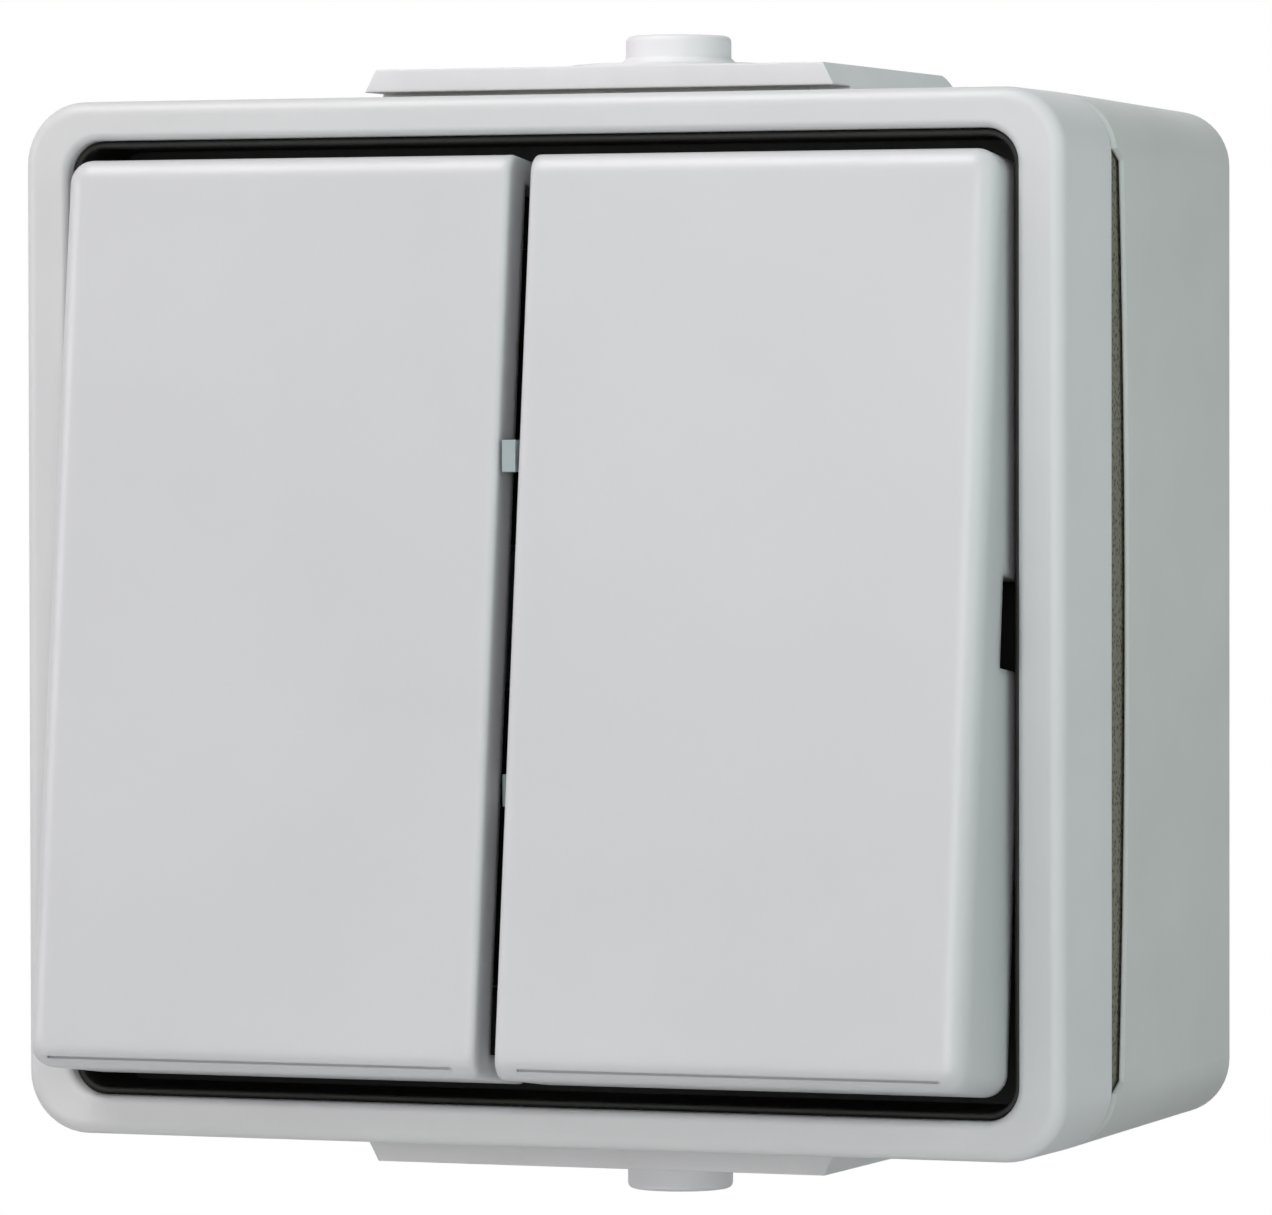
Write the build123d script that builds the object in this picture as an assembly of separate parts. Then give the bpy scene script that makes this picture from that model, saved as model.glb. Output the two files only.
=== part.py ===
import os
from math import cos, radians, sin

from build123d import *

# Two-gang surface-mounted splash-proof switch, sizes in millimetres.
# Each piece is drawn with x to the right, y up and z out from the wall,
# and is stood up at the end so that +Z is up and the front faces -Y.

# Housing
housing_width = 70.0
housing_height = 66.0
housing_depth = 36.0
corner_radius = 4.0
cover_depth = 9.55
box_wall = 2.2
back_wall = 2.5
box_draft = 0.8
rear_edge_radius = 0.5
seam_z = housing_depth - cover_depth
cavity_width = housing_width - 2 * box_wall
cavity_height = housing_height - 2 * box_wall
cavity_radius = corner_radius - box_wall

# Seam between the box and the cover
gasket_height = 4.45
gasket_fit = 0.2
gasket_margin = 0.35
lip_thickness = 0.35
lip_corner_gap = 0.15
rim_chamfer = 1.15
rim_break = 0.25
rim_break_angle = 45.0
relief_end_gap = 2.5
relief_floor = 0.75
relief_margin = 4.3
relief_end_slope = 1.2
ledge_z = seam_z - gasket_height
lip_top_z = seam_z - lip_corner_gap
gasket_inset = lip_thickness + gasket_fit
gasket_width = box_wall - gasket_inset - gasket_margin

# Cover
side_border = 3.0
end_border = 2.5
opening_radius = 2.2
front_edge_radius = 0.9
opening_edge_radius = 0.5
flange_thickness = 1.8
flange_side_reach = 5.5
flange_end_reach = 7.0
window_radius = 2.0
tongue_length = 1.2
tongue_thickness = 1.0
tongue_clearance = 0.2
opening_width = housing_width - 2 * side_border
opening_height = housing_height - 2 * end_border
window_width = opening_width - 2 * flange_side_reach
window_height = opening_height - 2 * flange_end_reach
flange_top_z = seam_z + flange_thickness

# Rubber seal that lines the opening
seal_wall = 0.45
seal_floor = 0.4
seal_drop = 0.9
seal_fit = 0.05
seal_edge_radius = 0.2
seal_top_z = housing_depth - seal_drop
seal_floor_z = flange_top_z + seal_floor

# Rockers
gang_x = 15.7
rocker_tilt = 6.5
rocker_side_gap = 0.8
rocker_end_gap = 1.64
rocker_rise = 0.14
rocker_centre_gap = 1.4
rocker_corner = 1.5
rocker_edge_radius = 1.3
rocker_inner_edge = 0.3
rocker_inner_skirt = 2.9
edge_line_inset = 0.6
edge_line_width = 0.16
edge_line_depth = 0.42
rocker_skirt = 1.6
rocker_skirt_gap = 0.45
rocker_face = 1.8
pivot_rise = 0.6
face_rise = 4.5
rocker_notch_height = 5.7
rocker_notch_shift = 0.25
rocker_width = (opening_width - rocker_centre_gap) / 2 - rocker_side_gap
rocker_height = opening_height - 2 * rocker_end_gap
rocker_shift = (rocker_centre_gap + rocker_width) / 2 - gang_x
pivot_z = housing_depth + pivot_rise
face_underside = face_rise - rocker_face
tilt_sin = sin(radians(rocker_tilt))
tilt_cos = cos(radians(rocker_tilt))
rocker_reach = rocker_height / 2 + rocker_rise
skirt_foot = (seal_floor_z + rocker_skirt_gap - pivot_z + rocker_reach * tilt_sin) / tilt_cos

# Bearings and pushers under the rockers
stub_radius = 1.0
stub_fit = 0.05
stub_end_gap = 0.2
socket_mouth = 1.7
post_thickness = 2.0
post_offset = 8.2
post_half_top = 2.3
post_half_foot = 4.5
post_rise = 0.9
post_waist_drop = 4.0
ear_thickness = 1.6
ear_gap = 1.0
ear_half_height = 2.6
ear_drop = 1.9
pusher_y = 13.0
pusher_radius = 2.0
pusher_gap = 0.2

# Carrier with the guide fin between the rockers
carrier_thickness = 2.0
carrier_fit = 1.8
carrier_window_margin = 0.6
membrane_bead = 1.95
fin_thickness = 0.9
fin_height = 5.0
lug_height = 2.0
lug_y = 10.4
lug_rise = 3.75
fin_margin = 1.8
carrier_top_z = seam_z - membrane_bead
carrier_z = carrier_top_z - carrier_thickness
carrier_width = cavity_width - 2 * carrier_fit
carrier_height = cavity_height - 2 * carrier_fit
fin_length = 2 * lug_y + lug_height + fin_margin

# Membrane
membrane_thickness = 0.8
membrane_wall = 0.7
membrane_inset = 0.5
bead_width = 5.0
post_hole_gap = 0.2
dome_top_radius = 3.5
dome_foot_radius = 4.9
dome_rise = 1.45
membrane_top_z = carrier_top_z + membrane_thickness
carrier_window_width = 2 * (dome_foot_radius + carrier_window_margin)
carrier_window_height = 2 * (pusher_y + dome_foot_radius + carrier_window_margin)

# Yokes
trunnion_radius = 1.5
trunnion_fit = 0.05
trunnion_length = 2.6
yoke_half_width = 4.4
yoke_arm_gap = 0.2
yoke_arm_thickness = 2.0
yoke_hub_radius = 3.0
pad_radius = 1.5
pad_gap = 0.15
sleeve_radius = 2.7
spring_seat = 1.8
trunnion_cap_gap = 0.1
yoke_axis_z = carrier_z - trunnion_radius - trunnion_cap_gap

# Plungers and springs
plunger_radius = 1.5
plunger_fit = 0.05
plunger_tip_radius = 1.2
plunger_stand_out = 1.95
plunger_hold = 1.2
plunger_peg_radius = 0.75
plunger_peg_length = 1.2
plunger_gap = 0.2
spring_wire = 0.36
spring_radius = 1.15
spring_turns = 6

# Contacts
base_z = 4.0
base_thickness = 4.0
base_margin = 1.3
base_radius = 1.5
strip_thickness = 0.8
strip_width = 4.4
tip_radius = 1.5
tip_thickness = 0.7
contact_y = 9.5
contact_gap = 0.1
arm_tilt = 5.5
arm_width = 5.0
arm_thickness = 0.8
arm_overhang = 0.5
arm_tip_drop = 0.1
fulcrum_radius = 0.8
fulcrum_fit = 0.05
fulcrum_width = 4.0
arm_hub_half = 1.7
common_x = 3.5
base_top_z = base_z + base_thickness
strip_top_z = base_top_z + strip_thickness
arm_under = arm_tip_drop + tip_thickness
arm_top = arm_under + arm_thickness
arm_sin = sin(radians(arm_tilt))
arm_axis_z = (
    strip_top_z
    + tip_thickness
    + contact_gap
    + (contact_y + tip_radius) * arm_sin
    - arm_tip_drop * cos(radians(arm_tilt))
)

# Bearing cheeks of the contact base
cheek_thickness = 2.0
cheek_gap = 0.6
cheek_half_height = 4.0
cheek_clearance = 0.1
strip_tunnel_gap = 0.3
cheek_offset = yoke_half_width + cheek_gap
base_width = 2 * (gang_x + cheek_offset + cheek_thickness + base_margin)

# Terminals
cage_width = 6.8
cage_depth = 5.5
cage_wall = 0.9
cage_floor = 1.0
cage_mouth = 4.6
cage_roof = 2.4
cage_fit = 0.15
block_wall = 1.3
block_gap = 2.6
terminal_screw_radius = 1.75
terminal_head_radius = 2.9
terminal_head_height = 2.0
terminal_screw_gap = 0.6
screw_hole_gap = 0.05
slot_width = 0.8
slot_depth = 1.0
cage_top_z = base_top_z + cage_mouth + cage_roof
arm_half_length = contact_y + tip_radius + arm_overhang
block_depth = cage_depth + 2 * cage_fit + 2 * block_wall
cage_y = arm_half_length + block_gap + block_depth / 2
base_height = 2 * cage_y + block_depth

# Screws
cover_screw_inset = 4.6
cover_screw_radius = 1.5
cover_screw_length = 14.0
cover_screw_end_gap = 1.0
countersink_radius = 2.8
countersink_depth = 1.5
head_sink = 0.05
screw_passage_gap = 0.3
column_wall = 2.1
base_screw_x = common_x
base_screw_y = 9.0
base_screw_radius = 1.45
base_screw_head = 2.5
base_screw_head_height = 1.8
base_boss_radius = 3.0
base_screw_depth = 2.4
cover_screw_x = cavity_width / 2 - cover_screw_inset
cover_screw_y = cavity_height / 2 - cover_screw_inset
column_size = cover_screw_inset + cover_screw_radius + column_wall

# Wall-fixing slots
fixing_inset = 4.3
fixing_slot_length = 7.0
fixing_slot_radius = 2.25
fixing_collar = 1.4
fixing_collar_height = 1.0
fixing_spacing = cavity_width - 2 * fixing_inset

# Cable entries
entry_width = 32.9
entry_slope = 1.15
entry_rise = 2.2
entry_front_gap = 1.85
entry_rear_gap = 0.3
entry_lap = 2.95
entry_rear_radius = 1.5
entry_undercut = 0.75
entry_undercut_depth = 3.0
entry_opening_z = 4.5
entry_fit = 0.1
entry_inner_flange = 1.2
entry_inner_overlap = 1.3
entry_skin = 1.6
entry_rim = 2.0
nipple_z = 10.0
nipple_foot_radius = 7.0
nipple_foot_height = 0.55
nipple_radius = 3.45
nipple_root = 0.5
nipple_top = 4.7
nipple_wall = 0.9
nipple_edge_radius = 0.4
entry_top_y = housing_height / 2 + entry_rise
entry_opening = entry_width - 2 * entry_lap


def slab(width, height, z_low, z_high, radius=0.0, x=0.0, y=0.0):
    """A flat block with rounded upright corners."""
    outline = RectangleRounded(width, height, radius) if radius > 0 else Rectangle(width, height)
    return Pos(x, y, z_low) * extrude(outline, z_high - z_low)


def rod_z(radius, z_low, z_high, x=0.0, y=0.0):
    """A round rod that runs out from the wall."""
    rod = Cylinder(radius, z_high - z_low, align=(Align.CENTER, Align.CENTER, Align.MIN))
    return Pos(x, y, z_low) * rod


def rod_x(radius, x_low, x_high, y=0.0, z=0.0):
    """A round rod that runs from side to side."""
    rod = Cylinder(radius, x_high - x_low, align=(Align.CENTER, Align.CENTER, Align.MIN))
    return Pos(x_low, y, z) * Rot(0, 90, 0) * rod


def prism_x(points, x_low, x_high):
    """A straight-sided (y, z) outline run from side to side."""
    outline = make_face(Polyline(*points, close=True))
    return extrude(Plane.YZ.offset(x_low) * outline, x_high - x_low)


def upper_edges(piece):
    """The edges that lie furthest out from the wall."""
    return piece.edges().group_by(Axis.Z)[-1]


def other_side(piece):
    """The left-hand twin of a right-hand piece."""
    return mirror(piece, about=Plane.YZ)


def corners(x, y):
    """The four places with these distances from the middle."""
    return [(side * x, end * y) for side in (-1, 1) for end in (-1, 1)]


def box_outside():
    """The drafted outside of the rear box, from its lip back to the wall."""
    outline = Pos(0, 0, lip_top_z) * RectangleRounded(housing_width, housing_height, corner_radius)
    return extrude(outline, lip_top_z, dir=(0, 0, -1), taper=box_draft)


def seam_relief(run, span):
    """The bowed cut that opens the seam along two straight runs a span apart, its outer edge broken."""
    half = run / 2 - relief_margin
    low = seam_z - relief_end_gap
    bow = ThreePointArc((-half, low), (0, ledge_z + relief_floor), (half, low))
    open_half = half + relief_end_slope
    rest = Polyline((half, low), (open_half, seam_z), (-open_half, seam_z), (-half, low))
    outline = Plane.YZ * make_face(bow + rest)
    flare = extrude(Pos(span / 2 - rim_break, 0, 0) * outline, rim_break, taper=-rim_break_angle)
    return extrude(outline, span, both=True) + flare + other_side(flare)


def fixing_slot(z_low, z_high, grow=0.0):
    """Both wall-fixing slots, or their collars when grown."""
    outline = SlotOverall(fixing_slot_length + 2 * grow, 2 * (fixing_slot_radius + grow))
    slot = extrude(outline, z_high - z_low)
    return [Pos(side * fixing_spacing / 2, 0, z_low) * slot for side in (-1, 1)]


def entry_gap():
    """The cut in the top and bottom walls that takes the cable-entry plates."""
    return slab(entry_opening, 2 * housing_height, entry_opening_z, seam_z)


def rear_box():
    shell = box_outside()
    shell = fillet(shell.edges().group_by(Axis.Z)[0], rear_edge_radius)
    shell = chamfer(upper_edges(shell), rim_chamfer)
    shell -= slab(cavity_width, cavity_height, back_wall, seam_z, cavity_radius)
    inside_lip = (housing_width - 2 * lip_thickness, housing_height - 2 * lip_thickness)
    shell -= slab(*inside_lip, ledge_z, seam_z, corner_radius - lip_thickness)
    shell -= seam_relief(housing_height, housing_width)
    shell -= Rot(0, 0, 90) * seam_relief(housing_width, housing_height)
    shell -= entry_gap()
    cavity = slab(cavity_width, cavity_height, back_wall, carrier_z, cavity_radius)
    for x, y in corners(cavity_width / 2, cavity_height / 2):
        shell += cavity & slab(2 * column_size, 2 * column_size, back_wall, carrier_z, 0, x, y)
    for x, y in corners(base_width / 2 - base_radius, base_height / 2 - base_radius):
        shell += rod_z(base_radius, back_wall, base_z, x, y)
    for turn in (1, -1):
        shell += rod_z(base_boss_radius, back_wall, base_z, turn * base_screw_x, turn * base_screw_y)
        shell -= rod_z(base_screw_radius + screw_hole_gap, base_z - base_screw_depth - screw_hole_gap,
                       base_z, turn * base_screw_x, turn * base_screw_y)
    shell += fixing_slot(back_wall, back_wall + fixing_collar_height, fixing_collar)
    shell -= fixing_slot(0, back_wall + fixing_collar_height)
    for x, y in corners(cover_screw_x, cover_screw_y):
        hole_end = flange_top_z - cover_screw_length - cover_screw_end_gap
        shell -= rod_z(cover_screw_radius + screw_hole_gap, hole_end, carrier_z, x, y)
    return shell


def countersunk(radius_gap, z_top, z_low, x, y):
    """The shape of a countersunk screw, widened all round by a gap."""
    cone_z = z_top - countersink_depth
    head = Cone(cover_screw_radius + radius_gap, countersink_radius + radius_gap, countersink_depth,
                align=(Align.CENTER, Align.CENTER, Align.MIN))
    return Pos(x, y, cone_z) * head + rod_z(cover_screw_radius + radius_gap, z_low, cone_z, x, y)


def front_cover():
    cover = slab(housing_width, housing_height, seam_z, housing_depth, corner_radius)
    cover = fillet(upper_edges(cover), front_edge_radius)
    cover -= slab(opening_width, opening_height, flange_top_z, housing_depth, opening_radius)
    rim = cover.faces().sort_by(Axis.Z)[-1].inner_wires()[0].edges()
    cover = fillet(rim, opening_edge_radius)
    tongue_out = (cavity_width - 2 * tongue_clearance, cavity_height - 2 * tongue_clearance)
    tongue_in = (tongue_out[0] - 2 * tongue_thickness, tongue_out[1] - 2 * tongue_thickness)
    tongue = slab(*tongue_out, seam_z - tongue_length, seam_z, cavity_radius - tongue_clearance)
    tongue -= slab(*tongue_in, seam_z - tongue_length, seam_z)
    cover += tongue
    cover -= slab(window_width, window_height, seam_z, flange_top_z, window_radius)
    for x, y in corners(cover_screw_x, cover_screw_y):
        cover -= countersunk(screw_hole_gap, flange_top_z, seam_z, x, y)
    return cover


def housing_gasket():
    outer = (housing_width - 2 * gasket_inset, housing_height - 2 * gasket_inset)
    inner = (outer[0] - 2 * gasket_width, outer[1] - 2 * gasket_width)
    outer_radius = corner_radius - gasket_inset
    ring = slab(*outer, ledge_z, seam_z, outer_radius)
    return ring - slab(*inner, ledge_z, seam_z, outer_radius - gasket_width)


def rocker_seal():
    outer = (opening_width - 2 * seal_fit, opening_height - 2 * seal_fit)
    inner = (outer[0] - 2 * seal_wall, outer[1] - 2 * seal_wall)
    seal = slab(*outer, flange_top_z, seal_top_z, opening_radius - seal_fit)
    seal -= slab(*inner, seal_floor_z, seal_top_z, opening_radius - seal_fit - seal_wall)
    seal = fillet(upper_edges(seal), seal_edge_radius)
    return seal - slab(window_width, window_height, flange_top_z, seal_floor_z, window_radius)


def rocker_shell():
    """The moulded cap alone, with its pivot line at the origin and its outer side at +x."""
    cap = slab(rocker_width, rocker_height, skirt_foot, face_rise)
    cap = fillet(cap.edges().filter_by(Axis.Z).group_by(Axis.X)[-1], rocker_corner)
    cap = fillet(upper_edges(cap).sort_by(Axis.X)[1:], rocker_edge_radius)
    inner_side = cap.faces().sort_by(Axis.X)[0]
    cap = fillet(inner_side.edges().sort_by(Axis.Z)[1:], rocker_inner_edge)
    # A fine line runs along the rounded lower edge.
    cap -= slab(rocker_width - 2 * rocker_corner, edge_line_width, face_rise - edge_line_depth, face_rise,
                0, 0, edge_line_inset - rocker_height / 2)
    hollow = (rocker_width - 2 * rocker_skirt, rocker_height - 2 * rocker_skirt)
    cap -= slab(*hollow, skirt_foot, face_underside)
    cap -= slab(2 * rocker_skirt, hollow[1], skirt_foot, face_rise - rocker_inner_skirt, 0, -rocker_width / 2)
    notch = slab(4 * rocker_skirt, rocker_notch_height, skirt_foot, 0)
    cap -= Pos(rocker_width / 2, rocker_notch_shift - rocker_rise, 0) * notch
    return Pos(rocker_shift, rocker_rise, 0) * cap


def rocker():
    """The right-hand rocker as it rests, with its lower end out."""
    cap = rocker_shell()
    ear_outer = post_offset - ear_gap
    ear = slab(ear_thickness, 2 * ear_half_height, -ear_drop, face_underside)
    for side in (-1, 1):
        cap += Pos(side * (ear_outer - ear_thickness / 2), 0, 0) * ear
        stub_length = post_offset + post_thickness - stub_end_gap - ear_outer
        stub_x = ear_outer if side > 0 else -ear_outer - stub_length
        cap += rod_x(stub_radius, stub_x, stub_x + stub_length)
    for end in (-1, 1):
        cap += rod_z(pusher_radius, -pusher_reach, face_underside, 0, end * pusher_y)
    return Pos(gang_x, 0, pivot_z) * Rot(-rocker_tilt, 0, 0) * cap


def bearing_post():
    """One post with an open snap socket for a rocker stub, on the middle of its gang."""
    top = pivot_z + post_rise
    waist = pivot_z - post_waist_drop
    outline = [
        (-post_half_foot, carrier_top_z),
        (post_half_foot, carrier_top_z),
        (post_half_top, waist),
        (post_half_top, top),
        (-post_half_top, top),
        (-post_half_top, waist),
    ]
    post = prism_x(outline, 0, post_thickness)
    post -= rod_x(stub_radius + stub_fit, 0, post_thickness, 0, pivot_z)
    return post - slab(2 * post_thickness, socket_mouth, pivot_z, top)


def post_places():
    """The left edges of the four bearing posts."""
    near = gang_x - post_offset - post_thickness
    far = gang_x + post_offset
    return [-far - post_thickness, -near - post_thickness, near, far]


def carrier():
    plate = slab(carrier_width, carrier_height, carrier_z, carrier_top_z, cavity_radius)
    for side in (-1, 1):
        plate -= slab(carrier_window_width, carrier_window_height, carrier_z, carrier_top_z,
                      window_radius, side * gang_x)
    for x in post_places():
        plate += Pos(x, 0, 0) * bearing_post()
    plate += slab(fin_thickness, fin_length, carrier_top_z, carrier_top_z + fin_height)
    for end in (-1, 1):
        plate += slab(fin_thickness, lug_height, carrier_top_z, housing_depth + lug_rise, 0, 0, end * lug_y)
    for x, y in corners(cover_screw_x, cover_screw_y):
        plate -= rod_z(cover_screw_radius + screw_passage_gap, carrier_z, carrier_top_z, x, y)
    return plate


# How far the pushers, domes and yoke pads reach, with the upper ends pressed in
dome_pressed_z = membrane_top_z + dome_rise
dome_raised_z = dome_pressed_z + 2 * pusher_y * tilt_sin
pusher_reach = (
    pivot_z - dome_pressed_z - pusher_gap - (pusher_y + pusher_radius) * tilt_sin
) / tilt_cos
pad_rise = (
    dome_pressed_z - membrane_wall - pad_gap - yoke_axis_z + (pusher_y - pad_radius) * tilt_sin
) / tilt_cos
dome_shift = (pad_rise - pusher_reach) / 2 * tilt_sin
yoke_arm_rise = (
    carrier_top_z - yoke_arm_gap - yoke_axis_z - (pusher_y - dome_foot_radius + membrane_wall) * tilt_sin
)


def dome(top_z):
    """One hollow dome of the membrane and the space inside it."""
    low = carrier_top_z
    shape = Cone(dome_foot_radius, dome_top_radius, top_z - low,
                 align=(Align.CENTER, Align.CENTER, Align.MIN))
    space = Cone(dome_foot_radius - membrane_wall, dome_top_radius - membrane_wall,
                 top_z - membrane_wall - low, align=(Align.CENTER, Align.CENTER, Align.MIN))
    return Pos(0, 0, low) * shape, Pos(0, 0, low) * space


def sealing_membrane():
    outer = (carrier_width - 2 * membrane_inset, carrier_height - 2 * membrane_inset)
    inner = (outer[0] - 2 * bead_width, outer[1] - 2 * bead_width)
    sheet = slab(*outer, carrier_top_z, seam_z, cavity_radius - membrane_inset)
    sheet -= slab(*inner, membrane_top_z, seam_z, window_radius)
    for side in (-1, 1):
        for end, top_z in ((1, dome_pressed_z), (-1, dome_raised_z)):
            place = Pos(side * gang_x, end * pusher_y * tilt_cos + dome_shift, 0)
            shape, space = dome(top_z)
            sheet += place * shape
            sheet -= place * space
    for x in post_places():
        hole_width = post_thickness + 2 * post_hole_gap
        hole_height = 2 * (post_half_foot + post_hole_gap)
        sheet -= slab(hole_width, hole_height, carrier_top_z, seam_z, 0, x + post_thickness / 2)
    sheet -= slab(fin_thickness + 2 * post_hole_gap, fin_length + 2 * post_hole_gap,
                  carrier_top_z, membrane_top_z)
    for x, y in corners(cover_screw_x, cover_screw_y):
        sheet -= rod_z(cover_screw_radius + screw_passage_gap, carrier_top_z, seam_z, x, y)
    return sheet


# The plunger's tip just clears the contact arm when both stand level
plunger_centre = yoke_axis_z - arm_axis_z - arm_top - plunger_tip_radius - plunger_gap
sleeve_reach = plunger_centre - plunger_stand_out
plunger_back = sleeve_reach - plunger_hold


def turned_with_yoke(piece):
    """Move a piece from the yoke's own axis to its resting place."""
    return Pos(gang_x, 0, yoke_axis_z) * Rot(-rocker_tilt, 0, 0) * piece


def yoke():
    arm_low = yoke_arm_rise - yoke_arm_thickness
    arm = slab(2 * pad_radius, 2 * (pusher_y + pad_radius), arm_low, yoke_arm_rise)
    hub = rod_x(yoke_hub_radius, -yoke_half_width, yoke_half_width)
    hub += rod_x(trunnion_radius, -yoke_half_width - trunnion_length, yoke_half_width + trunnion_length)
    lever = hub + arm + rod_z(sleeve_radius, -sleeve_reach, 0)
    for end in (-1, 1):
        lever += rod_z(pad_radius, arm_low, pad_rise, 0, end * pusher_y)
    lever -= rod_z(plunger_radius + plunger_fit, -plunger_centre, spring_seat)
    return turned_with_yoke(lever)


def plunger():
    body = rod_z(plunger_tip_radius, -plunger_centre, -plunger_back)
    body += Pos(0, 0, -plunger_centre) * Sphere(plunger_tip_radius)
    body += rod_z(plunger_radius, -sleeve_reach, -plunger_back)
    body += rod_z(plunger_peg_radius, -plunger_back, -plunger_back + plunger_peg_length)
    return turned_with_yoke(body)


def plunger_spring():
    run = spring_seat + plunger_back - spring_wire
    path = Helix(run / spring_turns, run, spring_radius)
    section = Plane(origin=path @ 0, z_dir=path % 0) * Circle(spring_wire / 2)
    coil = sweep(section, path)
    return turned_with_yoke(Pos(0, 0, -plunger_back + spring_wire / 2) * coil)


def turned_with_arm(piece):
    """Move a piece from the contact arm's own axis to its resting place."""
    return Pos(gang_x, 0, arm_axis_z) * Rot(arm_tilt, 0, 0) * piece


def contact_arm():
    bar = slab(arm_width, 2 * arm_half_length, arm_under, arm_top)
    bar += slab(arm_width, 2 * arm_hub_half, 0, arm_top)
    bar -= rod_x(fulcrum_radius + fulcrum_fit, -arm_width, arm_width)
    return turned_with_arm(bar)


def arm_contact_tips():
    tips = [rod_z(tip_radius, arm_tip_drop, arm_under, 0, end * contact_y) for end in (-1, 1)]
    return turned_with_arm(Part() + tips)


def common_contact():
    """The right-hand common strip: from its fulcrum inwards, then down to its terminal."""
    outer_x = gang_x + fulcrum_width / 2
    inner_x = common_x - strip_width / 2
    strip = slab(outer_x - inner_x, strip_width, base_top_z, strip_top_z, 0, (outer_x + inner_x) / 2)
    end_y = cage_y + cage_depth / 2
    strip += slab(strip_width, end_y, base_top_z, strip_top_z, 0, common_x, -end_y / 2)
    post = slab(fulcrum_width, 2 * fulcrum_radius, strip_top_z, arm_axis_z, 0, gang_x)
    knob = rod_x(fulcrum_radius, gang_x - fulcrum_width / 2, gang_x + fulcrum_width / 2, 0, arm_axis_z)
    return strip + post + knob


def fixed_contact(end):
    """The right-hand strip from one fixed tip to its terminal, at the top (1) or bottom (-1)."""
    start_y = contact_y - tip_radius
    end_y = cage_y + cage_depth / 2
    middle = end * (start_y + end_y) / 2
    return slab(strip_width, end_y - start_y, base_top_z, strip_top_z, 0, gang_x, middle)


def fixed_contact_tips():
    places = corners(gang_x, contact_y)
    return Part() + [rod_z(tip_radius, strip_top_z, strip_top_z + tip_thickness, x, y) for x, y in places]


def terminal_places():
    """The six terminals: three along the top edge and three along the bottom."""
    return corners(gang_x, cage_y) + [(-common_x, cage_y), (common_x, -cage_y)]


def bearing_cheek():
    """One cheek with an open notch for a yoke trunnion, its near face at x = 0."""
    top = carrier_z - cheek_clearance
    cheek = slab(cheek_thickness, 2 * cheek_half_height, base_top_z, top, 0, cheek_thickness / 2)
    notch_radius = trunnion_radius + trunnion_fit
    cheek -= rod_x(notch_radius, 0, cheek_thickness, 0, yoke_axis_z)
    cheek -= slab(2 * cheek_thickness, 2 * notch_radius, yoke_axis_z, top, 0, cheek_thickness / 2)
    tunnel = strip_width + 2 * strip_tunnel_gap
    return cheek - slab(2 * cheek_thickness, tunnel, base_top_z, strip_top_z + strip_tunnel_gap, 0,
                        cheek_thickness / 2)


def contact_base():
    base = slab(base_width, base_height, base_z, base_top_z, base_radius)
    block_top = cage_top_z - cage_fit
    for end in (-1, 1):
        base += slab(base_width, block_depth, base_top_z, block_top, 0, 0, end * cage_y)
    for x, y in terminal_places():
        end = 1 if y > 0 else -1
        base -= slab(cage_width + 2 * cage_fit, cage_depth + 2 * cage_fit,
                     base_top_z - cage_floor - cage_fit, block_top, 0, x, y)
        mouth = cage_width - 2 * cage_wall
        base -= slab(mouth, base_height / 2, base_top_z, base_top_z + cage_mouth, 0,
                     x, end * base_height / 2)
    for side in (-1, 1):
        for x in (cheek_offset, -cheek_offset - cheek_thickness):
            base += Pos(side * gang_x + x, 0, 0) * bearing_cheek()
    for turn in (1, -1):
        base -= rod_z(base_screw_radius + screw_passage_gap, base_z, base_top_z,
                      turn * base_screw_x, turn * base_screw_y)
    return base


def terminal_cage():
    low = base_top_z - cage_floor
    cage = slab(cage_width, cage_depth, low, cage_top_z)
    cage -= slab(cage_width - 2 * cage_wall, cage_depth, base_top_z, base_top_z + cage_mouth)
    return cage - rod_z(terminal_screw_radius + screw_hole_gap, base_top_z + cage_mouth, cage_top_z)


def slotted_screw(radius, head_radius, head_height, z_low, z_seat):
    """A screw with a flat round head and a straight slot."""
    screw = rod_z(radius, z_low, z_seat) + rod_z(head_radius, z_seat, z_seat + head_height)
    top = z_seat + head_height
    return screw - slab(2 * head_radius, slot_width, top - slot_depth, top)


def terminal_screw():
    low = base_top_z + cage_mouth - terminal_screw_gap
    seat = cage_top_z + terminal_screw_gap
    return slotted_screw(terminal_screw_radius, terminal_head_radius, terminal_head_height, low, seat)


def base_screw():
    return slotted_screw(base_screw_radius, base_screw_head, base_screw_head_height,
                         base_z - base_screw_depth, base_top_z)


def cover_screw(x, y):
    top = flange_top_z - head_sink
    screw = countersunk(0, top, flange_top_z - cover_screw_length, x, y)
    return screw - slab(2 * countersink_radius, slot_width, top - slot_depth, top, 0, x, y)


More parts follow.
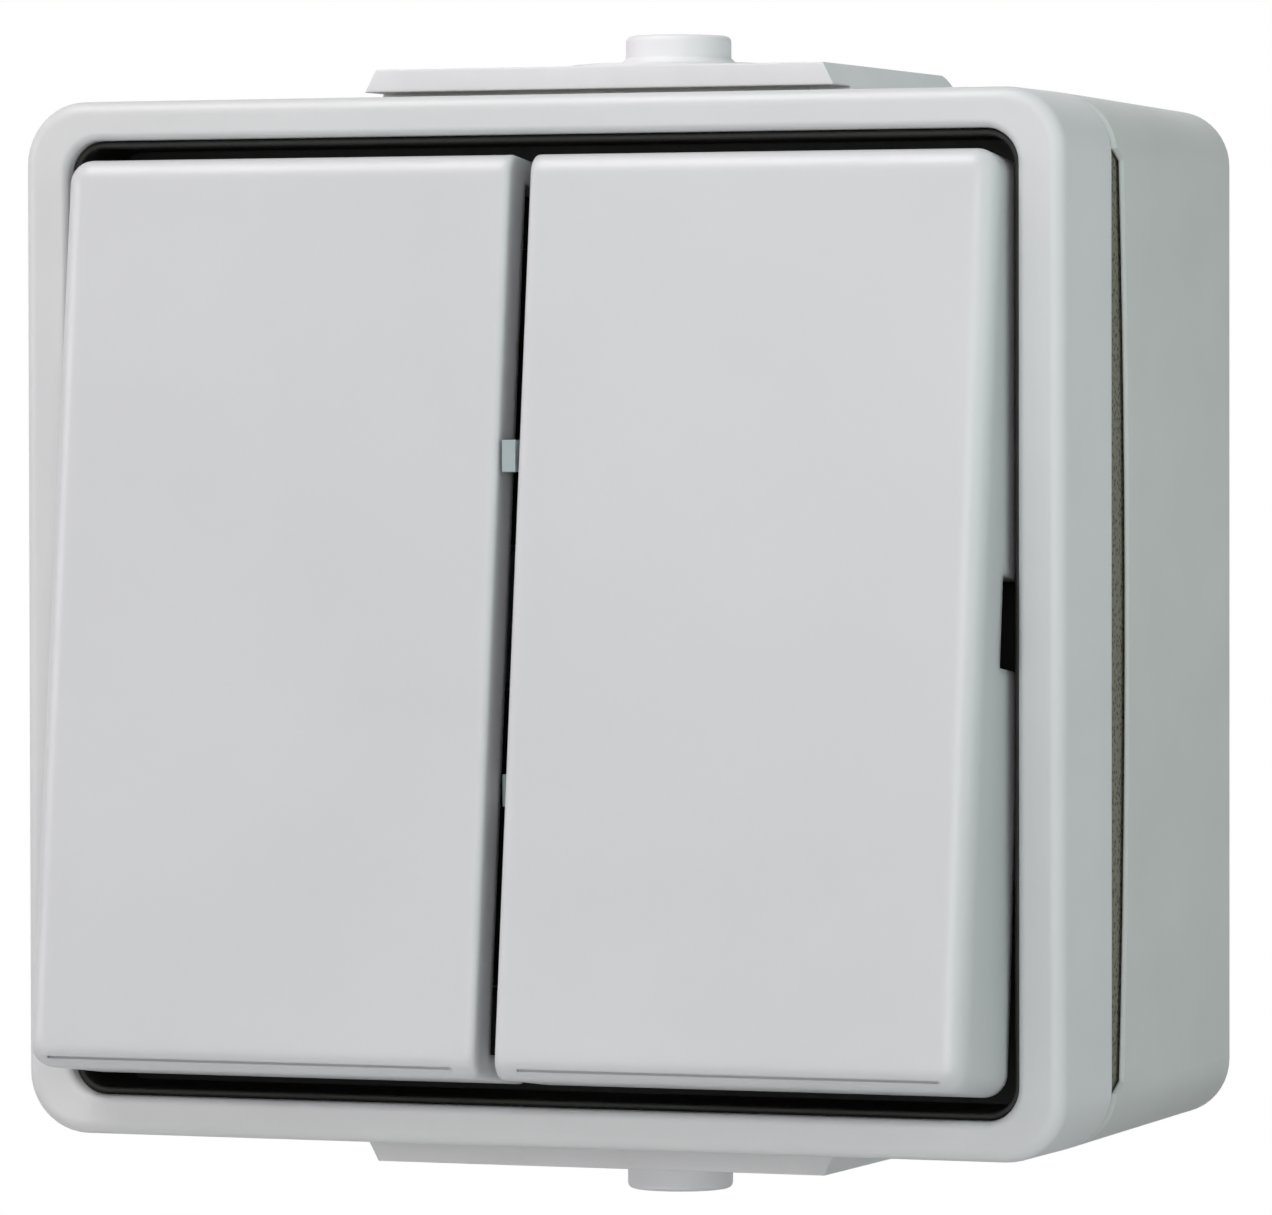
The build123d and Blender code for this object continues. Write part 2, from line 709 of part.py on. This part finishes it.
def cable_entry():
    """The upper cable-entry plate: a grooved slide-in plate with a closed stepped nipple."""
    wall_y = housing_height / 2
    front = seam_z - entry_front_gap
    low_y = wall_y - box_wall
    half = entry_width / 2
    slope = entry_slope * (entry_top_y - low_y) / entry_rise
    flange_outline = make_face(Polyline(
        (-half - slope + entry_slope, low_y), (half + slope - entry_slope, low_y),
        (half - entry_slope, entry_top_y), (-half + entry_slope, entry_top_y), close=True))
    plate = Pos(0, 0, entry_rear_gap) * extrude(flange_outline, front - entry_rear_gap)
    rear_top = plate.edges().group_by(Axis.Z)[0].sort_by(Axis.Y)[-1]
    plate = fillet(rear_top, entry_rear_radius)
    plate -= box_outside()
    plate -= slab(2 * entry_width, 2 * (wall_y + entry_undercut), front - entry_undercut_depth, front)
    web_low_z = entry_opening_z + entry_fit
    web_high_z = ledge_z - entry_fit
    inner_y = low_y - entry_fit - entry_inner_flange
    web_width = entry_opening - 2 * entry_fit
    plate += slab(web_width, wall_y + entry_rise / 2 - inner_y, web_low_z, web_high_z, 0, 0,
                  (wall_y + entry_rise / 2 + inner_y) / 2)
    plate += slab(entry_opening + 2 * entry_inner_overlap, entry_inner_flange,
                  entry_opening_z - entry_inner_overlap, carrier_z - entry_fit, 0, 0,
                  inner_y + entry_inner_flange / 2)
    spigot = Cylinder(nipple_radius, nipple_top, align=(Align.CENTER, Align.CENTER, Align.MIN))
    spigot = fillet(upper_edges(spigot), nipple_edge_radius)
    foot = Cylinder(nipple_foot_radius, entry_rise + nipple_foot_height,
                    align=(Align.CENTER, Align.CENTER, Align.MIN))
    root = Cone(nipple_radius + nipple_root, nipple_radius, nipple_root,
                align=(Align.CENTER, Align.CENTER, Align.MIN))
    root = Pos(0, 0, entry_rise + nipple_foot_height) * root
    plate += Pos(0, wall_y, nipple_z) * Rot(-90, 0, 0) * (spigot + foot + root)
    recess_top = entry_top_y - entry_skin
    plate -= slab(web_width - 2 * entry_rim, recess_top - inner_y, web_low_z + entry_rim,
                  web_high_z - entry_rim, 0, 0, (recess_top + inner_y) / 2)
    bore = Cylinder(nipple_radius - nipple_wall, nipple_top - nipple_wall,
                    align=(Align.CENTER, Align.CENTER, Align.MIN))
    return plate - Pos(0, wall_y, nipple_z) * Rot(-90, 0, 0) * bore


def upside_down(piece):
    """The same piece half a turn round, for the bottom of the box."""
    return Rot(0, 0, 180) * piece


def at_places(piece, places):
    """One loose copy of a piece at each place."""
    return Part() + [Pos(x, y, 0) * piece for x, y in places]


right_common = common_contact()
base_screw_places = [(base_screw_x, base_screw_y), (-base_screw_x, -base_screw_y)]

nodes = {
    "rear_box": rear_box(),
    "front_cover": front_cover(),
    "housing_gasket": housing_gasket(),
    "top_cable_entry": cable_entry(),
    "bottom_cable_entry": upside_down(cable_entry()),
    "rocker_seal": rocker_seal(),
    "left_rocker": other_side(rocker()),
    "right_rocker": rocker(),
    "carrier": carrier(),
    "sealing_membrane": sealing_membrane(),
    "left_yoke": other_side(yoke()),
    "right_yoke": yoke(),
    "left_plunger": other_side(plunger()),
    "right_plunger": plunger(),
    "left_plunger_spring": Pos(-2 * gang_x, 0, 0) * plunger_spring(),
    "right_plunger_spring": plunger_spring(),
    "left_contact_arm": other_side(contact_arm()),
    "right_contact_arm": contact_arm(),
    "left_arm_tips": other_side(arm_contact_tips()),
    "right_arm_tips": arm_contact_tips(),
    "left_common_contact": upside_down(right_common),
    "right_common_contact": right_common,
    "left_upper_contact": other_side(fixed_contact(1)),
    "left_lower_contact": other_side(fixed_contact(-1)),
    "right_upper_contact": fixed_contact(1),
    "right_lower_contact": fixed_contact(-1),
    "fixed_contact_tips": fixed_contact_tips(),
    "contact_base": contact_base(),
    "terminal_cages": at_places(terminal_cage(), terminal_places()),
    "terminal_screws": at_places(terminal_screw(), terminal_places()),
    "base_screws": at_places(base_screw(), base_screw_places),
    "cover_screws": Part() + [cover_screw(x, y) for x, y in corners(cover_screw_x, cover_screw_y)],
}

os.makedirs("parts", exist_ok=True)
for name, piece in nodes.items():
    export_step(Rot(90, 0, 0) * piece, f"parts/{name}.step")
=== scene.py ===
from math import pi, radians

import bpy
from mathutils import Matrix, Vector


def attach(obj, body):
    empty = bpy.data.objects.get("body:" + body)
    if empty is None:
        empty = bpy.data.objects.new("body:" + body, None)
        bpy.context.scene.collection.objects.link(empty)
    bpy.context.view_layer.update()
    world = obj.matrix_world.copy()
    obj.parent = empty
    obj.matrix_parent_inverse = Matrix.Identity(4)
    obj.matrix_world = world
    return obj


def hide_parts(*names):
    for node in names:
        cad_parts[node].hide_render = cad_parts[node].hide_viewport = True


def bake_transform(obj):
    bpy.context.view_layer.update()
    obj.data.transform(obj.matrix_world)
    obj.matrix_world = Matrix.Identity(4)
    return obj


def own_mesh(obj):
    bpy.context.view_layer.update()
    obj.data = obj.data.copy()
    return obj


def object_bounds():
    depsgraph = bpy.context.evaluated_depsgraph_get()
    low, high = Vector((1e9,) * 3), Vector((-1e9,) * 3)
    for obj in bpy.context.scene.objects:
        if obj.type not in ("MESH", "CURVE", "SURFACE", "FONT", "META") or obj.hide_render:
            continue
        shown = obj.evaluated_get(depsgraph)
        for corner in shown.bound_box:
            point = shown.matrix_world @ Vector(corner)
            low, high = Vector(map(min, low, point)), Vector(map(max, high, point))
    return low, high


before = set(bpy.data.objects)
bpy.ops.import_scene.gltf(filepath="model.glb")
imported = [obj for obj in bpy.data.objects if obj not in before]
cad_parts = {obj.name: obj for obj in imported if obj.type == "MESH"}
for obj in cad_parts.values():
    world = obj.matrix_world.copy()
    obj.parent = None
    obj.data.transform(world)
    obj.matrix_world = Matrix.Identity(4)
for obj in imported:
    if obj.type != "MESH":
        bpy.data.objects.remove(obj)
cad_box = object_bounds()

# Two-gang surface-mounted splash-proof switch. Lengths are in metres, the front faces -Y and +Z is up.

# Camera, at the photograph's viewing angle
camera_aim = Vector((0.00702, -0.036, 0.00095))
camera_distance = 0.5136
camera_yaw = radians(21.2)
camera_pitch = radians(1.28)
camera_roll = radians(-0.1)
camera_lens = 233.5
sensor_width = 36.0

# The two gangs, as the solids' names begin
sides = ("left_", "right_")

# Membrane, as the solids have it: its sheet's two faces, and where its domes stand
sheet_back = -0.0245
sheet_front = -0.0253
dome_x = 0.0157
dome_z = 0.013
dome_reach = 0.0056

# Soft pieces: room left over a pressed dome, what counts as one point, what shows as an edge
dome_clearance = 0.0003
weld_distance = 0.000001
sharp_edge = radians(30)

# Typical refractive indices
abs_ior = 1.53
polyethylene_ior = 1.51
epdm_ior = 1.48
silicone_ior = 1.41
polycarbonate_ior = 1.58
nylon_ior = 1.53
acetal_ior = 1.48
phenolic_ior = 1.6

# Light
shade_level = 0.07
shade_tint = (0.86, 1.0, 0.95)
warm_tint = (1.0, 0.965, 0.972)
cool_tint = (0.82, 1.0, 0.96)

# Floor
floor_width = 4.0
floor_drop = 0.025
shadow_reach = 0.12
white_from = 0.24


def colour(hex_code):
    """A colour written as sRGB hex, as the linear colour that shaders work in."""
    parts = [int(hex_code[i:i + 2], 16) / 255 for i in (1, 3, 5)]
    linear = [p / 12.92 if p <= 0.04045 else ((p + 0.055) / 1.055) ** 2.4 for p in parts]
    return (*linear, 1.0)


def grey(level):
    """A level between 0 and 1 as a colour, for ramps that steer a value."""
    return (level, level, level, 1.0)


def per_metre(size_mm):
    """The texture scale that draws a pattern with features of this size."""
    return 1000 / size_mm


def add_node(tree, kind, inputs=None, stops=None, **settings):
    """Add one node: settings are its options, inputs its values or links, stops the colours of a ramp."""
    node = tree.nodes.new(kind)
    for name, value in settings.items():
        setattr(node, name, value)
    for name, value in (inputs or {}).items():
        if isinstance(value, bpy.types.NodeSocket):
            tree.links.new(value, node.inputs[name])
        else:
            node.inputs[name].default_value = value
    if stops:
        ramp = node.color_ramp.elements
        for element, (position, shade) in zip(ramp, stops):
            element.position = position
            element.color = shade
    return node


def start_material(name):
    """A new material, with its shader and the place of each point on the piece."""
    material = bpy.data.materials.new(name)
    material.use_nodes = True
    tree = material.node_tree
    place = add_node(tree, "ShaderNodeTexCoord").outputs["Object"]
    return material, tree, tree.nodes["Principled BSDF"], place


def blotches(tree, place, size_mm, low, high):
    """A soft change between two colours or two levels over patches of this size."""
    noise = add_node(tree, "ShaderNodeTexNoise", {
        "Vector": place, "Scale": per_metre(size_mm), "Detail": 3.0, "Roughness": 0.55})
    ramp = add_node(tree, "ShaderNodeValToRGB", {"Fac": noise.outputs["Fac"]},
                    stops=[(0.3, low), (0.7, high)])
    return ramp.outputs["Color"]


def patchy_shine(tree, shader, place, dull_mm, dullness):
    """Let the roughness drift softly between two levels over patches of this size."""
    dull = blotches(tree, place, dull_mm, grey(dullness[0]), grey(dullness[1]))
    tree.links.new(dull, shader.inputs["Roughness"])


def start_surface(name, tone_mm, tones, dull_mm, dullness):
    """A new material whose colour and roughness drift softly over patches of these sizes."""
    material, tree, shader, place = start_material(name)
    tone = blotches(tree, place, tone_mm, colour(tones[0]), colour(tones[1]))
    tree.links.new(tone, shader.inputs["Base Color"])
    patchy_shine(tree, shader, place, dull_mm, dullness)
    return material, tree, shader, place


def grain(tree, shader, place, grain_mm, depth_mm, edge_mm):
    """Give the surface a fine mould grain and break its sharp edges."""
    broken_edge = add_node(tree, "ShaderNodeBevel", {"Radius": edge_mm / 1000}, samples=6)
    noise = add_node(tree, "ShaderNodeTexNoise", {
        "Vector": place, "Scale": per_metre(grain_mm), "Detail": 2.0, "Roughness": 0.6})
    bump = add_node(tree, "ShaderNodeBump", {
        "Height": noise.outputs["Fac"], "Strength": 1.0, "Distance": depth_mm / 1000,
        "Normal": broken_edge.outputs["Normal"]})
    tree.links.new(bump.outputs["Normal"], shader.inputs["Normal"])


def satin_abs(name, tones):
    """ABS from a finely spark-eroded mould: an even pale grey with a soft, broad shine."""
    material, tree, shader, place = start_surface(
        name, tone_mm=26, tones=tones, dull_mm=7, dullness=(0.40, 0.48))
    # The true pebble is about 0.05 mm; it is drawn at 0.25 mm so that it shows.
    grain(tree, shader, place, grain_mm=0.25, depth_mm=0.0020, edge_mm=0.15)
    shader.inputs["IOR"].default_value = abs_ior
    return material


def smooth_abs():
    """ABS from a polished mould, rubbed by fingers: the same grey with a tighter, patchy shine."""
    material, tree, shader, place = start_surface(
        "smooth_moulded_abs", tone_mm=30, tones=("#C6C7C9", "#CBCCCE"), dull_mm=9, dullness=(0.30, 0.38))
    # The true finish is finer still; 0.3 mm waves are as small as show here. The edges turn softly.
    grain(tree, shader, place, grain_mm=0.3, depth_mm=0.0012, edge_mm=1.0)
    shader.inputs["IOR"].default_value = abs_ior
    return material


def soft_polyethylene():
    """Low-density polyethylene: paler, waxy and a little cloudy."""
    material, tree, shader, place = start_surface(
        "soft_moulded_polyethylene",
        tone_mm=8, tones=("#DDDDDF", "#E5E5E7"), dull_mm=4, dullness=(0.46, 0.56))
    grain(tree, shader, place, grain_mm=0.5, depth_mm=0.0020, edge_mm=0.2)
    shader.inputs["IOR"].default_value = polyethylene_ior
    return material


def foam_rubber():
    """Closed-cell foam rubber: dark brown-grey, dull, with the cut cells showing as fine pits painted darker,
    as painted shade in their hollows.
    """
    material, tree, shader, place = start_material("closed_cell_foam_rubber")
    cell_mm = 0.35
    pit_depth = 0.00004
    cells = add_node(tree, "ShaderNodeTexVoronoi", {"Vector": place, "Scale": per_metre(cell_mm)})
    # The pits are painted darker than the foam around them: painted shade in the hollow cells.
    pit_shade = add_node(tree, "ShaderNodeValToRGB", {"Fac": cells.outputs["Distance"]},
                    stops=[(0.1, colour("#2B2A22")), (0.5, colour("#7A776A"))])
    bump = add_node(tree, "ShaderNodeBump", {
        "Height": cells.outputs["Distance"], "Strength": 1.0, "Distance": pit_depth})
    tree.links.new(pit_shade.outputs["Color"], shader.inputs["Base Color"])
    tree.links.new(bump.outputs["Normal"], shader.inputs["Normal"])
    shader.inputs["Roughness"].default_value = 0.9
    return material


def black_rubber():
    """Moulded EPDM: black with a faint grey bloom and a dull sheen."""
    material, tree, shader, place = start_surface(
        "moulded_epdm_rubber", tone_mm=3, tones=("#0D0D0A", "#161612"), dull_mm=1.5, dullness=(0.5, 0.65))
    grain(tree, shader, place, grain_mm=0.3, depth_mm=0.004, edge_mm=0.15)
    shader.inputs["IOR"].default_value = epdm_ior
    return material


def silicone_rubber():
    """Moulded silicone: soft black, a little shinier than the seal."""
    material, tree, shader, place = start_surface(
        "moulded_silicone_rubber", tone_mm=4, tones=("#191A19", "#232423"), dull_mm=2, dullness=(0.4, 0.5))
    grain(tree, shader, place, grain_mm=0.5, depth_mm=0.003, edge_mm=0.2)
    shader.inputs["IOR"].default_value = silicone_ior
    return material


def pale_polycarbonate():
    """Polycarbonate from a plain mould: a cool pale grey, clean and slightly glossy."""
    material, tree, shader, place = start_surface(
        "moulded_polycarbonate", tone_mm=12, tones=("#94A2A3", "#9EABAC"), dull_mm=5, dullness=(0.32, 0.40))
    grain(tree, shader, place, grain_mm=0.4, depth_mm=0.0015, edge_mm=0.12)
    shader.inputs["IOR"].default_value = polycarbonate_ior
    return material


def natural_nylon():
    """Undyed nylon: a warm off-white with cloudy streaks where the melt met."""
    material, tree, shader, place = start_surface(
        "natural_moulded_nylon", tone_mm=3, tones=("#DEDACB", "#EBE8DD"), dull_mm=2, dullness=(0.38, 0.5))
    grain(tree, shader, place, grain_mm=0.4, depth_mm=0.002, edge_mm=0.12)
    shader.inputs["IOR"].default_value = nylon_ior
    return material


def white_acetal():
    """Turned-smooth acetal: bright white and slippery."""
    material, tree, shader, place = start_surface(
        "white_acetal", tone_mm=2, tones=("#E6E6E1", "#F0F0EC"), dull_mm=1, dullness=(0.24, 0.34))
    grain(tree, shader, place, grain_mm=0.3, depth_mm=0.001, edge_mm=0.1)
    shader.inputs["IOR"].default_value = acetal_ior
    return material


def spring_steel():
    """Drawn stainless wire: bright, with patches of finer and coarser drawing."""
    material, tree, shader, place = start_surface(
        "drawn_spring_steel", tone_mm=0.8, tones=("#A9ABAD", "#C0C2C4"), dull_mm=0.3, dullness=(0.22, 0.34))
    shader.inputs["Metallic"].default_value = 1.0
    return material


def rolled_brass():
    """Rolled brass strip: yellow, with rolling lines along it and a little tarnish."""
    material, tree, shader, place = start_surface(
        "rolled_brass", tone_mm=3, tones=("#B99A5B", "#D3B673"), dull_mm=1.5, dullness=(0.26, 0.4))
    # Rolling lines are finer than 0.05 mm; they are drawn 0.2 mm apart and 8 mm long so that they show.
    line_mm = 0.2
    line_length_mm = 8
    line_depth = 0.000003
    along = add_node(tree, "ShaderNodeMapping", {
        "Vector": place, "Scale": (1.0, 1.0, line_mm / line_length_mm)})
    lines = add_node(tree, "ShaderNodeTexNoise", {
        "Vector": along.outputs["Vector"], "Scale": per_metre(line_mm)})
    bump = add_node(tree, "ShaderNodeBump", {
        "Height": lines.outputs["Fac"], "Strength": 1.0, "Distance": line_depth})
    tree.links.new(bump.outputs["Normal"], shader.inputs["Normal"])
    shader.inputs["Metallic"].default_value = 1.0
    return material


def contact_silver():
    """Silver alloy rivets: white metal with a faint dark bloom."""
    material, tree, shader, place = start_surface(
        "silver_alloy", tone_mm=0.8, tones=("#C2C0BA", "#E2E1DD"), dull_mm=0.5, dullness=(0.25, 0.4))
    shader.inputs["Metallic"].default_value = 1.0
    return material


def dark_thermoset():
    """Filled phenolic: dark grey with paler flecks of filler and a dull shine."""
    material, tree, shader, place = start_material("filled_phenolic")
    fleck_mm = 0.8
    flecks = add_node(tree, "ShaderNodeTexVoronoi", {"Vector": place, "Scale": per_metre(fleck_mm)})
    tone = add_node(tree, "ShaderNodeValToRGB", {"Fac": flecks.outputs["Distance"]},
                    stops=[(0.08, colour("#6A6C6E")), (0.25, colour("#46484B"))])
    tree.links.new(tone.outputs["Color"], shader.inputs["Base Color"])
    patchy_shine(tree, shader, place, dull_mm=4, dullness=(0.4, 0.52))
    grain(tree, shader, place, grain_mm=0.4, depth_mm=0.003, edge_mm=0.12)
    shader.inputs["IOR"].default_value = phenolic_ior
    return material


def zinc_plate():
    """Zinc-plated steel: bluish white, with a faint crystal mottle."""
    material, tree, shader, place = start_material("zinc_plated_steel")
    crystal_mm = 0.7
    crystals = add_node(tree, "ShaderNodeTexVoronoi", {"Vector": place, "Scale": per_metre(crystal_mm)})
    tone = add_node(tree, "ShaderNodeValToRGB", {"Fac": crystals.outputs["Color"]},
                    stops=[(0.2, colour("#A4A9AC")), (0.8, colour("#C0C4C6"))])
    tree.links.new(tone.outputs["Color"], shader.inputs["Base Color"])
    patchy_shine(tree, shader, place, dull_mm=1, dullness=(0.28, 0.42))
    shader.inputs["Metallic"].default_value = 1.0
    return material


def finish_nodes():
    """Give each solid of the switch the finish of its real material."""
    strips = ("contact_arm", "common_contact", "upper_contact", "lower_contact")
    finishes = [
        (satin_abs("satin_cover_abs", ("#CBCCCD", "#D0D1D2")), ["front_cover"]),
        # The box's tones are darker than the cover's: painted shade, for its sides that lie further back from
        # the light.
        (satin_abs("satin_box_abs_painted_shade", ("#BBBEBD", "#C1C4C3")), ["rear_box"]),
        (smooth_abs(), [side + "rocker" for side in sides]),
        (soft_polyethylene(), ["top_cable_entry", "bottom_cable_entry"]),
        (foam_rubber(), ["housing_gasket"]),
        (black_rubber(), ["rocker_seal"]),
        (silicone_rubber(), ["sealing_membrane"]),
        (pale_polycarbonate(), ["carrier"]),
        (natural_nylon(), [side + "yoke" for side in sides]),
        (white_acetal(), [side + "plunger" for side in sides]),
        (spring_steel(), [side + "plunger_spring" for side in sides]),
        (rolled_brass(), [side + strip for side in sides for strip in strips]),
        (contact_silver(), ["fixed_contact_tips"] + [side + "arm_tips" for side in sides]),
        (dark_thermoset(), ["contact_base"]),
        (zinc_plate(), ["terminal_cages", "terminal_screws", "base_screws", "cover_screws"]),
    ]
    for material, names in finishes:
        for name in names:
            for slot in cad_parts[name].material_slots:
                slot.material = material


def work_on(piece):
    """Select one piece alone, ready for modelling."""
    bpy.ops.object.select_all(action="DESELECT")
    piece.select_set(True)
    bpy.context.view_layer.objects.active = piece


def welded_copy(node, name):
    """A copy of a solid's mesh, its seams welded, with the solid itself hidden."""
    piece = bpy.data.objects.new(name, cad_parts[node].data.copy())
    bpy.context.scene.collection.objects.link(piece)
    work_on(piece)
    bpy.ops.object.mode_set(mode="EDIT")
    bpy.ops.mesh.select_all(action="SELECT")
    bpy.ops.mesh.remove_doubles(threshold=weld_distance)
    bpy.ops.object.mode_set(mode="OBJECT")
    bpy.ops.mesh.customdata_custom_splitnormals_clear()
    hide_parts(node)
    return piece


def shade_round(piece):
    """Shade a piece as smooth, except across its sharp edges."""
    work_on(piece)
    bpy.ops.object.shade_smooth_by_angle(angle=sharp_edge)


def spring_coils():
    """The two plunger springs, as welded copies that go with their yokes."""
    for side in sides:
        coil = welded_copy(side + "plunger_spring", side + "spring_coil")
        shade_round(coil)
        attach(coil, side + "yoke_body")
        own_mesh(coil)


def close_rim(piece):
    """Join the two open rims that a cut has left."""
    work_on(piece)
    bpy.ops.object.mode_set(mode="EDIT")
    bpy.ops.mesh.select_mode(type="EDGE")
    bpy.ops.mesh.select_non_manifold(extend=False, use_wire=False, use_multi_face=False,
                                     use_non_contiguous=False, use_verts=False)
    bpy.ops.mesh.bridge_edge_loops()
    bpy.ops.mesh.select_all(action="SELECT")
    bpy.ops.mesh.normals_make_consistent(inside=False)
    bpy.ops.object.mode_set(mode="OBJECT")


def cut_dome(sheet, centre, name):
    """Cut one dome out of the membrane's sheet as a piece of its own."""
    work_on(sheet)
    bpy.ops.object.mode_set(mode="EDIT")
    bpy.ops.mesh.select_mode(type="FACE")
    bpy.ops.mesh.select_all(action="DESELECT")
    bpy.ops.object.mode_set(mode="OBJECT")
    for face in sheet.data.polygons:
        front = min(sheet.data.vertices[i].co.y for i in face.vertices)
        aside = Vector((face.center.x, face.center.z)) - centre
        face.select = front < sheet_front - weld_distance and aside.length < dome_reach
    bpy.ops.object.mode_set(mode="EDIT")
    bpy.ops.mesh.separate(type="SELECTED")
    bpy.ops.object.mode_set(mode="OBJECT")
    dome = next(piece for piece in bpy.context.selected_objects if piece != sheet)
    dome.name = name
    close_rim(sheet)
    close_rim(dome)
    return dome


def dome_height(dome):
    """How far a dome's top stands in front of the sheet's back face."""
    return sheet_back - min(vertex.co.y for vertex in dome.data.vertices)


def trim_top(dome, height):
    """Slice a dome's top off flat at a height, so that the rocker has room to turn over it."""
    work_on(dome)
    bpy.ops.object.mode_set(mode="EDIT")
    bpy.ops.mesh.select_all(action="SELECT")
    bpy.ops.mesh.bisect(plane_co=(0, sheet_back - height, 0), plane_no=(0, -1, 0),
                        use_fill=True, clear_outer=True)
    bpy.ops.object.mode_set(mode="OBJECT")


def membrane():
    """The membrane: its sheet and its lower domes go with the housing, its upper domes are cut off and
    trimmed flat on top.
    """
    sheet = welded_copy("sealing_membrane", "membrane_sheet")
    for side, x in zip(sides, (-dome_x, dome_x)):
        upper = cut_dome(sheet, Vector((x, dome_z)), side + "upper_dome")
        lower = cut_dome(sheet, Vector((x, -dome_z)), side + "lower_dome")
        pressed = dome_height(upper)
        trim_top(upper, pressed - dome_clearance)
        shade_round(upper)
        shade_round(lower)
        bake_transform(upper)
        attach(lower, "housing")
        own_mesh(lower)
    shade_round(sheet)
    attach(sheet, "housing")


def seen_directly(tree):
    """1 for what the camera sees outright, in a mirror or through glass, 0 for what only gives light."""
    path = add_node(tree, "ShaderNodeLightPath").outputs
    mirrored = add_node(tree, "ShaderNodeMath", {
        0: path["Is Glossy Ray"], 1: path["Is Transmission Ray"]}, operation="MAXIMUM")
    seen = add_node(tree, "ShaderNodeMath", {
        0: path["Is Camera Ray"], 1: mirrored.outputs[0]}, operation="MAXIMUM")
    return seen.outputs[0]


def white_paper():
    """Matt white paper that takes a soft shadow near the switch and looks plain white further off."""
    material, tree, shader, place = start_surface(
        "white_paper", tone_mm=300, tones=("#E4E4E4", "#E8E8E8"), dull_mm=300, dullness=(0.88, 0.92))
    reach = add_node(tree, "ShaderNodeVectorMath", {0: place}, operation="LENGTH").outputs["Value"]
    far = add_node(tree, "ShaderNodeMapRange", {
        "Value": reach, "From Min": shadow_reach, "From Max": white_from}, interpolation_type="SMOOTHSTEP")
    fade = add_node(tree, "ShaderNodeMath", {0: far.outputs["Result"], 1: seen_directly(tree)},
                    operation="MULTIPLY")
    white = add_node(tree, "ShaderNodeEmission", {"Color": (1.0, 1.0, 1.0, 1.0), "Strength": 1.0})
    surface = add_node(tree, "ShaderNodeMixShader", {
        0: fade.outputs[0], 1: shader.outputs["BSDF"], 2: white.outputs["Emission"]})
    tree.links.new(surface.outputs["Shader"], tree.nodes["Material Output"].inputs["Surface"])
    return material


def white_floor():
    """A white floor a little below the switch, as if it stood on a clear block."""
    bpy.ops.object.select_all(action="DESELECT")
    bpy.ops.mesh.primitive_plane_add(size=floor_width, location=(0, 0, cad_box[0].z - floor_drop))
    floor = bpy.context.object
    floor.name = "floor"
    floor.data.materials.append(white_paper())


def soft_lamp(name, direction, distance, width, level, tint):
    """A square softbox; level is how bright it alone makes a white surface that faces it."""
    data = bpy.data.lights.new(name, "AREA")
    data.shape = "SQUARE"
    data.size = width
    data.color = tint
    data.energy = level * pi ** 2 * distance ** 2
    lamp = bpy.data.objects.new(name, data)
    towards = Vector(direction).normalized()
    lamp.location = towards * distance
    lamp.rotation_euler = towards.to_track_quat("Z", "Y").to_euler()
    lamp.visible_camera = False
    bpy.context.scene.collection.objects.link(lamp)


def surrounding_light():
    """An even surround: white where it is seen or mirrored, faint and cool where it lights the shade."""
    world = bpy.data.worlds.new("studio")
    bpy.context.scene.world = world
    world.use_nodes = True
    tree = world.node_tree
    tree.nodes.clear()
    shade = add_node(tree, "ShaderNodeBackground", {"Color": (*shade_tint, 1.0), "Strength": shade_level})
    white = add_node(tree, "ShaderNodeBackground", {"Color": (1.0, 1.0, 1.0, 1.0), "Strength": 1.0})
    chosen = add_node(tree, "ShaderNodeMixShader", {
        0: seen_directly(tree), 1: shade.outputs["Background"], 2: white.outputs["Background"]})
    add_node(tree, "ShaderNodeOutputWorld", {"Surface": chosen.outputs["Shader"]})


def stand_camera():
    """Stand the camera where the photograph was taken from."""
    turn = Matrix.Rotation(camera_yaw, 4, "Z") @ Matrix.Rotation(radians(90) - camera_pitch, 4, "X")
    turn = turn @ Matrix.Rotation(camera_roll, 4, "Z")
    data = bpy.data.cameras.new("photo_camera")
    data.lens = camera_lens
    data.sensor_width = sensor_width
    data.sensor_fit = "HORIZONTAL"
    camera = bpy.data.objects.new("photo_camera", data)
    standpoint = Matrix.Translation((0, 0, camera_distance))
    camera.matrix_world = Matrix.Translation(camera_aim) @ turn @ standpoint
    bpy.context.scene.collection.objects.link(camera)
    bpy.context.scene.camera = camera


finish_nodes()
spring_coils()
membrane()
white_floor()
surrounding_light()
soft_lamp("key", (-0.30, -0.46, 0.84), distance=0.55, width=0.32, level=0.66, tint=warm_tint)
soft_lamp("front", (0.28, -0.95, 0.08), distance=1.0, width=0.5, level=0.36, tint=warm_tint)
soft_lamp("left_edge", (-0.85, -0.50, 0.15), distance=1.0, width=0.16, level=0.15, tint=warm_tint)
soft_lamp("right_fill", (0.85, -0.43, 0.30), distance=0.25, width=0.14, level=0.24, tint=cool_tint)
soft_lamp("back", (-0.30, 0.95, -0.02), distance=0.5, width=0.09, level=0.5, tint=warm_tint)
stand_camera()
bpy.context.scene.view_settings.view_transform = "Standard"
